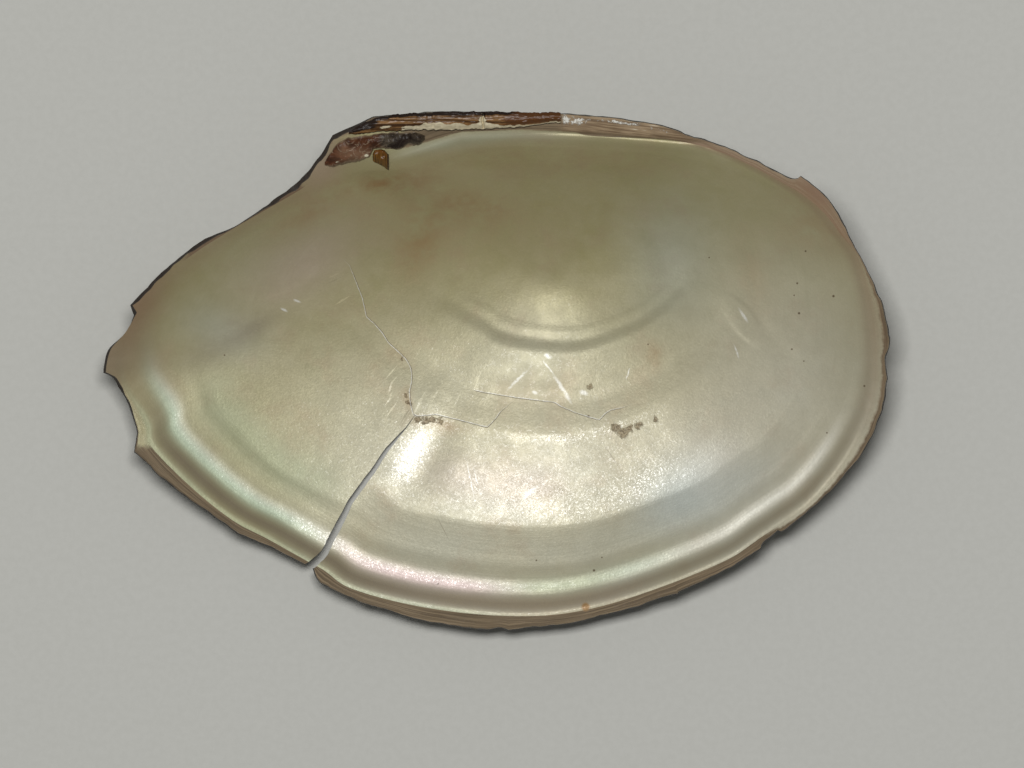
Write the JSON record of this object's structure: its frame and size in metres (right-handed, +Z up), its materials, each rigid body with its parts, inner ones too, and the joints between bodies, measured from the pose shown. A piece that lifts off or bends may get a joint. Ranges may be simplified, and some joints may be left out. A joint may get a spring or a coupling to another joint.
{
  "type": "mussel shell",
  "caption": "Single valve of a large freshwater mussel, cracked and chipped, lying hollow side up with its hinge ligament.",
  "frame": {"origin": "centre of the bounding box in plan, on the surface the shell rests on", "axes": "+X towards the rounded front end, +Y towards the hinge, +Z up out of the hollow"},
  "size_m": [0.1578, 0.104, 0.0333],
  "materials": {
    "valve": "mother-of-pearl inside, dull brown horny skin outside",
    "hinge_ligament": "hard glossy horn",
    "dried_tissue": "dry and wrinkled",
    "ligament_scrap": "translucent horn"
  },
  "bodies": {
    "root": {"valve": "valve", "hinge_ligament": "hinge_ligament", "dried_tissue": "dried_tissue", "ligament_scrap": "ligament_scrap"}
  },
  "joints": []
}
